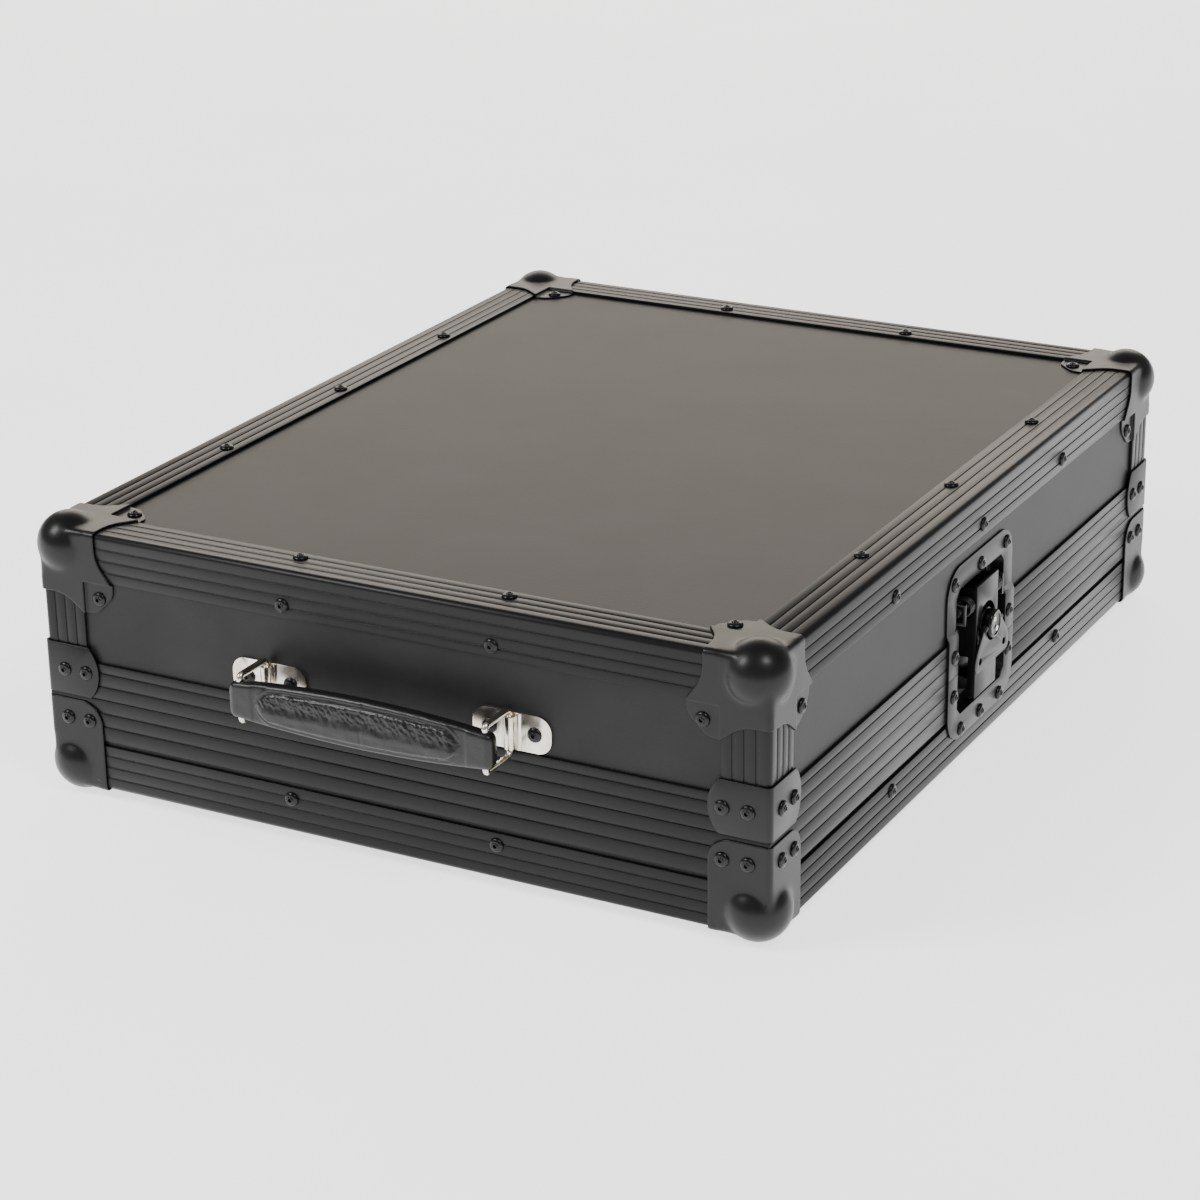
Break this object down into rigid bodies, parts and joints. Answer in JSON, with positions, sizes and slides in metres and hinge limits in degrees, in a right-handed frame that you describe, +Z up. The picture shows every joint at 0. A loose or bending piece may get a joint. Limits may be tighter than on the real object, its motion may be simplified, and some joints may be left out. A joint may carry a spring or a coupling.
{
  "type": "dj mixer flight case",
  "caption": "Black flight case for a table-top mixer: shallow base, deep lift-off lid with strap handle, butterfly latches at the sides and ball corners.",
  "frame": {"origin": "middle of the floor panel's underside", "axes": "+Z up, +Y away from the handle side, +X along the handle side towards the right latch"},
  "size_m": [0.4972, 0.6385, 0.1764],
  "materials": {
    "laminate_panel": "black laminated plywood with a fine pebbled face",
    "black_aluminium": "black anodised, satin",
    "black_steel": "black coated pressed steel, satin",
    "nickel_steel": "nickel plated steel",
    "black_rivet": "black coated steel rivets",
    "spring_steel": "oiled spring steel",
    "foam": "dark grey closed-cell foam",
    "grip_leather": "black leather-look cover with stitching"
  },
  "bodies": {
    "base": {"base_angle_back": "black_aluminium", "base_angle_front": "black_aluminium", "base_angle_left": "black_aluminium", "base_angle_right": "black_aluminium", "base_back_panel": "laminate_panel", "base_ball_corner_back_left": "black_steel", "base_ball_corner_back_right": "black_steel", "base_ball_corner_front_left": "black_steel", "base_ball_corner_front_right": "black_steel", "base_floor_panel": "laminate_panel", "base_foam": "foam", "base_front_panel": "laminate_panel", "base_left_panel": "laminate_panel", "base_profile_back": "black_aluminium", "base_profile_front": "black_aluminium", "base_profile_left": "black_aluminium", "base_profile_right": "black_aluminium", "base_right_panel": "laminate_panel", "base_rivets": "black_rivet", "latch_left_lower_dish": "black_steel", "latch_right_lower_dish": "black_steel"},
    "lid": {"handle_bracket_left": "nickel_steel", "handle_bracket_right": "nickel_steel", "latch_left_upper_dish": "black_steel", "latch_right_upper_dish": "black_steel", "lid_angle_back": "black_aluminium", "lid_angle_front": "black_aluminium", "lid_angle_left": "black_aluminium", "lid_angle_right": "black_aluminium", "lid_back_panel": "laminate_panel", "lid_ball_corner_back_left": "black_steel", "lid_ball_corner_back_right": "black_steel", "lid_ball_corner_front_left": "black_steel", "lid_ball_corner_front_right": "black_steel", "lid_corner_angles": "black_aluminium", "lid_corner_braces": "black_steel", "lid_foam": "foam", "lid_front_panel": "laminate_panel", "lid_left_panel": "laminate_panel", "lid_profile_back": "black_aluminium", "lid_profile_front": "black_aluminium", "lid_profile_left": "black_aluminium", "lid_profile_right": "black_aluminium", "lid_right_panel": "laminate_panel", "lid_rivets": "black_rivet", "lid_top_panel": "laminate_panel"},
    "handle_ring_left": {"handle_ring_left": "nickel_steel"},
    "handle_grip": {"handle_grip": "grip_leather"},
    "handle_ring_right": {"handle_ring_right": "nickel_steel"},
    "latch_right_carriage": {"latch_right_cross_pin": "black_steel", "latch_right_springs": "spring_steel"},
    "latch_right_clasp": {"latch_right_clasp": "black_steel"},
    "latch_right_spindle": {"latch_right_spindle": "black_steel"},
    "latch_right_wing": {"latch_right_wing": "black_steel"},
    "latch_left_carriage": {"latch_left_cross_pin": "black_steel", "latch_left_springs": "spring_steel"},
    "latch_left_clasp": {"latch_left_clasp": "black_steel"},
    "latch_left_spindle": {"latch_left_spindle": "black_steel"},
    "latch_left_wing": {"latch_left_wing": "black_steel"}
  },
  "joints": [
    {"name": "lid_lift", "type": "slide", "parent": "base", "child": "lid", "axis": [0, 0, 1], "range_m": [0, 0.2]},
    {"name": "left_ring_swing", "type": "hinge", "parent": "lid", "child": "handle_ring_left", "pos_m": [-0.08, -0.29978, 0.092], "axis": [0, 0, 1], "range_deg": [-60, 60]},
    {"name": "right_ring_swing", "type": "hinge", "parent": "lid", "child": "handle_ring_right", "pos_m": [0.08, -0.29978, 0.092], "axis": [0, 0, 1], "range_deg": [-60, 60]},
    {"name": "grip_swing", "type": "hinge", "parent": "handle_ring_left", "child": "handle_grip", "pos_m": [-0.08, -0.32678, 0.092], "axis": [0, 0, 1], "range_deg": [-60, 60]},
    {"name": "latch_right_draw", "type": "slide", "parent": "lid", "child": "latch_right_carriage", "axis": [0, 0, -1], "range_m": [0, 0.004]},
    {"name": "latch_right_tilt", "type": "hinge", "parent": "latch_right_carriage", "child": "latch_right_clasp", "pos_m": [0.236, 0, 0.0945], "axis": [0, -1, 0], "range_deg": [0, 8]},
    {"name": "latch_right_turn", "type": "hinge", "parent": "latch_right_clasp", "child": "latch_right_spindle", "pos_m": [0.245, 0, 0.078], "axis": [1, 0, 0], "range_deg": [0, 180]},
    {"name": "latch_right_wing_fold", "type": "hinge", "parent": "latch_right_spindle", "child": "latch_right_wing", "pos_m": [0.2452, 0, 0.078], "axis": [0, -1, 0], "range_deg": [0, 90]},
    {"name": "latch_left_draw", "type": "slide", "parent": "lid", "child": "latch_left_carriage", "axis": [0, 0, -1], "range_m": [0, 0.004]},
    {"name": "latch_left_tilt", "type": "hinge", "parent": "latch_left_carriage", "child": "latch_left_clasp", "pos_m": [-0.236, 0, 0.0945], "axis": [0, 1, 0], "range_deg": [0, 8]},
    {"name": "latch_left_turn", "type": "hinge", "parent": "latch_left_clasp", "child": "latch_left_spindle", "pos_m": [-0.245, 0, 0.078], "axis": [-1, 0, 0], "range_deg": [0, 180]},
    {"name": "latch_left_wing_fold", "type": "hinge", "parent": "latch_left_spindle", "child": "latch_left_wing", "pos_m": [-0.2452, 0, 0.078], "axis": [0, 1, 0], "range_deg": [0, 90]}
  ],
  "couplings": [
    {"joint": "right_ring_swing", "follows": "left_ring_swing", "ratio": 1},
    {"joint": "grip_swing", "follows": "left_ring_swing", "ratio": -1},
    {"joint": "latch_right_draw", "follows": "latch_right_turn", "m_per_rad": 0.0012732},
    {"joint": "latch_left_draw", "follows": "latch_left_turn", "m_per_rad": 0.0012732}
  ]
}
